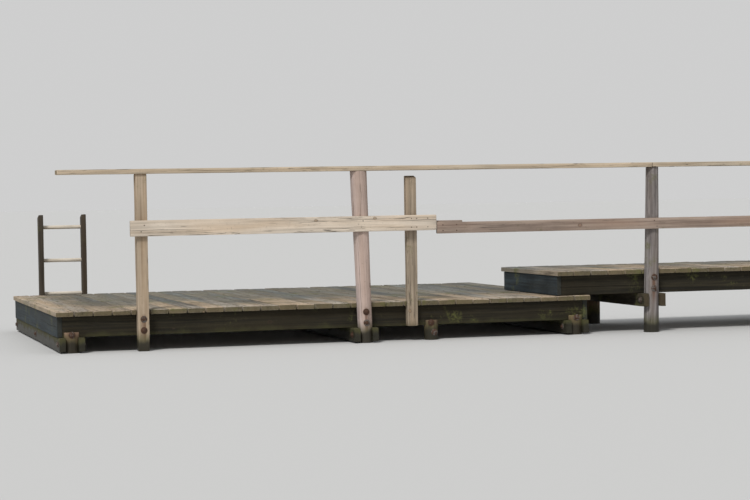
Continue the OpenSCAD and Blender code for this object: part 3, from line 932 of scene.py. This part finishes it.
PLATFORM_LINES = ("platform_stringer_near", "platform_stringers_inner", "platform_stringer_far")
for n, node in enumerate((*PLATFORM_LINES, "walkway_stringers")):
    bars(node, X, 100 + n)
for n, node in enumerate(("platform_lake_board", "platform_shore_board", "step_riser", "shore_header")):
    bars(node, Y, 110 + n, checks=3)
for n in range(3):
    bars(f"platform_bearer_{n + 1}", Y, 120 + n, arris=0.005, rough=0.002)
for n in range(4):
    bars(f"walkway_bearer_{n + 1}", Y, 130 + n, arris=0.005, rough=0.002)
for n in range(3):
    bars(f"top_rail_{n + 1}", X, 140 + n, arris=0.006, rough=0.0016, checks=4)
    bars(f"mid_rail_{n + 1}", X, 150 + n, arris=0.005, rough=0.0016, checks=3)
bars("mid_rail_cleat", X, 160)
bars("railing_post_1", Z, 161, arris=0.006, checks=3, bolted=True)
bars("railing_post_3", Z, 162, arris=0.005, slope=TOP_SLOPE)
bars("ladder_uprights", Z, 163, slope=-TOP_SLOPE)

# Rungs

rng, piece = default_rng(170), Piece("ladder_rungs_round")
along, turn = np.linspace(0, 1, 15), np.linspace(0, 1, 20, endpoint=False)
for lo, hi in solids("ladder_rungs"):
    _, y, z = centre = (lo + hi) / 2
    worn = 0.0012 * field(along[:, None] * 4, turn * 6, rng.integers(99), 6)
    r = (hi[Y] - lo[Y]) / 2 - worn
    x = (lo[X] + along * (hi[X] - lo[X]))[:, None]
    ring = joined(x, y + np.cos(turn * TURN) * r, z + np.sin(turn * TURN) * r)
    tube(piece, ring, ring - centre, 0, rng)
stand_for(piece, "ladder_rungs")

# Round piles and posts

# A railing post: its place, diameters and tilt, what is let into it and the heights of its bolts
Post = namedtuple("Post", "x foot top tilt seat stringer rail bolts")


def lean(i):
    """Lean of main post number i, as in the part."""
    return -POST_LEAN * math.cos(math.radians(137 * i))


PLATFORM_FITTED = (PLATFORM_SEAT, PLATFORM_LINE, HEAD_RAIL, PLATFORM_BOLTS)
WALK_FITTED = (WALK_SEAT, WALK_LINE, WALK_RAIL, WALK_BOLTS)
FIRST_POST = Post(FIRST_X, SEAT_W, SEAT_W, 0.0, *PLATFORM_FITTED)
HEAD_POST = Post(HEAD_X, *HEAD_D, lean(0), *PLATFORM_FITTED)
WALK_POSTS = [Post(x, *WALK_D, lean(i), *WALK_FITTED) for i, x in enumerate(WALK_X, 1)]


def thick(post, z):
    """Diameter of a post at a height."""
    return post.foot + (post.top - post.foot) * z / RAIL_UNDER


def logs(node, seed, shapes):
    """Replaces a node by logs, each of a shape as log() takes it."""
    rng, piece = default_rng(seed), Piece(node + "_log")
    for shape in shapes:
        log(piece, rng, **shape)
    stand_for(piece, node)


def seats(x, rise):
    """Cuts for a pair of bearer planks, one on each side of what stands at x."""
    return [Cut(*rise, X, side, x + side * SEAT_W / 2) for side in (1, -1)]


def railing_post(post):
    """The shape of a round railing post."""
    cuts = seats(post.x, post.seat)
    cuts += [Cut(*post.stringer, Y, 1, STRINGER_FACE), Cut(*post.rail, Y, -1, RAIL_Y)]
    return dict(x=post.x, y=POST_Y, foot=post.foot, top=post.top, height=RAIL_UNDER, tilt=post.tilt,
                cuts=cuts)


def short_pile(x, y, seat):
    """The shape of an upright pile that ends with its seats."""
    return dict(x=x, y=y, foot=SHORT_PILE_D, top=SHORT_PILE_D, height=seat[1],
                cuts=seats(x, seat), checks=1)


def cheek_pile(x, d, cuts):
    """The shape of a pile of diameter d with a notched head, whose cheek covers its stringer."""
    notch = Cut(PLATFORM_SEAT[1], BEYOND, Y, 1, STRINGER_FACE)
    return dict(x=x, y=CHEEK_FACE + d / 2, foot=d, top=d, height=CHEEK_TOP, cuts=[notch] + cuts,
                centre_y=(CHEEK_FACE + STRINGER_FACE) / 2, checks=1)


logs("railing_post_2", 200, [railing_post(HEAD_POST)])
for n, post in enumerate(WALK_POSTS):
    logs(f"railing_post_{n + 4}", 201 + n, [railing_post(post)])
    logs(f"walkway_pile_{n + 1}", 211 + n, [short_pile(post.x, *WALK_PILE_Y, WALK_SEAT)])
for n in (0, 2):
    near = cheek_pile(ROW_X[n], SHORT_PILE_D, seats(ROW_X[n], PLATFORM_SEAT))
    far = [short_pile(ROW_X[n], y, PLATFORM_SEAT) for y in PILE_Y]
    logs(f"platform_piles_{n + 1}", 221 + n, [near] + far)
logs("platform_piles_2", 222, [short_pile(HEAD_X, y, PLATFORM_SEAT) for y in PILE_Y])
logs("extra_pile", 224, [cheek_pile(EXTRA_X, EXTRA_PILE_D, [])])

# Decks

deck_nails = Piece("deck_nails")


def notch(x0, x1, y0=-BEYOND, y1=BEYOND):
    """The place that something between these bounds takes from a deck."""
    return (x0 - NOTCH_CLEAR, x1 + NOTCH_CLEAR, y0 - NOTCH_CLEAR, y1 + NOTCH_CLEAR)


def log_notch(post, deck_node):
    """The place that a round post takes from a deck, at its underside."""
    z = span(deck_node, Z)[0]
    x, r = leant(post.x, post.tilt, z), thick(post, z) / 2
    return notch(x - r, x + r, y1=POST_Y + r)


def deck(node, seed, notches, stringers):
    """Replaces a deck by boards, with two nails over each stringer."""
    rng, piece = default_rng(seed), Piece(node + "_boards")
    lo, hi = (np.array(corner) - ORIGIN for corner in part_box(node))
    run = hi[X] - lo[X] + BOARD_GAP
    count = round(run / (BOARD_W + BOARD_GAP))
    pitch = run / count
    for i in range(count):
        xa = lo[X] + i * pitch
        xb = xa + pitch - BOARD_GAP
        board(piece, xa, xb, lo[Y], hi[Y], lo[Z], hi[Z], notches, stringers, rng)
        for stringer in stringers:
            for side in (-NAIL_SIDE, NAIL_SIDE):
                x = (xa + xb) / 2 + side + rng.uniform(-0.003, 0.003)
                y = stringer + rng.uniform(-0.008, 0.008)
                over = (n[0] - 0.01 < x < n[1] + 0.01 and n[2] < y < n[3] + 0.01 for n in notches)
                if not any(over):
                    nail(deck_nails, (x, y, hi[Z] - DECK_SUNK), UP, rng)
    stand_for(piece, node)


notches = [notch(*span(f"railing_post_{n}", X), y1=STRINGER_FACE) for n in (1, 3)]
notches.append(log_notch(HEAD_POST, "platform_deck"))
for lo, hi in solids("ladder_uprights"):
    notches.append(notch(lo[X] - ORIGIN[X], hi[X] - ORIGIN[X], y0=lo[Y] - ORIGIN[Y]))
deck("platform_deck", 301, notches, [y for node in PLATFORM_LINES for y in centres(node, Y)])
notches = [log_notch(post, "walkway_deck_1") for post in WALK_POSTS]
for n in (1, 2):
    deck(f"walkway_deck_{n}", 301 + n, notches, centres("walkway_stringers", Y))

# Nails and bolts

rng = default_rng(400)
rail_nails, bolts = Piece("rail_nails"), Piece("frame_bolts")
nail_y = RAIL_FACE + RAIL_SUNK

# The railing posts: nails in the top rail and in the middle one, and bolts
for post in (FIRST_POST, HEAD_POST, *WALK_POSTS):
    for dx, dy in ((-0.022, -0.020), (0.020, 0.018)):
        x = leant(post.x, post.tilt, RAIL_TOP) + dx
        nail(rail_nails, (x, POST_Y + dy, RAIL_TOP - RAIL_SUNK), UP, rng)
    z = sum(post.rail) / 2
    for dz in (-0.022, 0.020):
        x = leant(post.x, post.tilt, z) + rng.uniform(-0.012, 0.012)
        nail(rail_nails, (x, nail_y, z + dz), OUT, rng)
    for z in post.bolts:
        at = (leant(post.x, post.tilt, z), POST_Y - thick(post, z) / 2 + POST_SUNK, z)
        bolt(bolts, at, OUT, rng, hexagon=False)

# The joint of the two middle rails, on the short post and its cleat
joint = [(dx, sum(HEAD_RAIL) / 2, 0.03) for dx in (-0.018, 0.02, 0.10)]
joint += [(dx, sum(WALK_RAIL) / 2, 0.02) for dx in (0.21, 0.31)]
for dx, z, dz in joint:
    for side in (-1, 1):
        nail(rail_nails, (SHORT_X + dx, nail_y, z + side * dz), OUT, rng)

# Bolts through the bearer planks, on both sides of each pile
rows = [(x, PLATFORM_SEAT, [CHEEK_FACE + SHORT_PILE_D / 2] + PILE_Y) for x in ROW_X]
rows[1] = (HEAD_X, PLATFORM_SEAT, [POST_Y] + PILE_Y)
rows += [(x, WALK_SEAT, [POST_Y] + WALK_PILE_Y) for x in WALK_X]
for x, seat, places in rows:
    for y in places:
        for side in (-1, 1):
            at = (x + side * (SEAT_W / 2 + PLANK_T - PLANK_SUNK), y, sum(seat) / 2)
            bolt(bolts, at, (side, 0, 0), rng)

# Bolts in the cheeks of the notched pile heads
high, low = 0.122, 0.055
for x, z in ((EXTRA_X - 0.012, high), (EXTRA_X + 0.010, low), (ROW_X[0], high), (ROW_X[2], high)):
    bolt(bolts, (x, CHEEK_FACE + CHEEK_SUNK, z), OUT, rng, hexagon=False)
for piece in (deck_nails, rail_nails, bolts):
    piece.build(rusty(piece.name + "_rusty"))

# Floor, light and camera

pale = Shader("floor_pale")
matt = {"Base Color": (0.60, 0.60, 0.595, 1), "Roughness": 0.95, "Specular IOR Level": 0.1}
for name, value in matt.items():
    pale.bsdf.inputs[name].default_value = value
me = bpy.data.meshes.new("floor")
me.from_pydata([(-400, -400, 0), (400, -400, 0), (400, 400, 0), (-400, 400, 0)], [], [(0, 1, 2, 3)])
me.materials.append(pale.mat)
floor = placed("floor", me)

# The sky lights the jetty, and the camera and reflections see a pale backdrop
world = bpy.context.scene.world = bpy.data.worlds.new("studio")
world.use_nodes = True
world.node_tree.nodes.clear()
sky = Nodes(world.node_tree)
ray = sky.outputs("ShaderNodeLightPath", {})
seen = sky.math("MAXIMUM", ray["Is Camera Ray"], ray["Is Glossy Ray"])
seen = sky.math("MAXIMUM", seen, ray["Is Transmission Ray"])
light = sky.add("ShaderNodeBackground", {"Color": (0.97, 0.985, 1.0, 1), "Strength": 0.55})
backdrop = sky.add("ShaderNodeBackground", {"Color": (0.62, 0.62, 0.62, 1), "Strength": 1.0})
shown = sky.add("ShaderNodeMixShader", {0: seen, 1: light, 2: backdrop})
sky.outputs("ShaderNodeOutputWorld", {"Surface": shown})

lamp = bpy.data.lights.new("key", "SUN")
lamp.energy, lamp.angle, lamp.color = 2.1, math.radians(14), (1.0, 0.985, 0.96)
placed("key", lamp).rotation_euler = (math.radians(43), 0, math.radians(-38))

# The photograph's standpoint, turned towards the jetty
data = bpy.data.cameras.new("camera")
data.sensor_width, data.lens, data.clip_end = 36.0, 97.6, 2000.0
camera = placed("camera", data)
camera.location = ORIGIN + (-1.662, -13.518, 0.982)
yaw, pitch, roll = map(math.radians, (15.97, -1.4, -1.02))
level = Matrix.Rotation(-yaw, 3, "Z") @ Matrix.Rotation(math.pi / 2 + pitch, 3, "X")
camera.rotation_mode = "QUATERNION"
camera.rotation_quaternion = (level @ Matrix.Rotation(roll, 3, "Z")).to_quaternion()
bpy.context.scene.camera = camera

bpy.context.scene.view_settings.view_transform = "Standard"
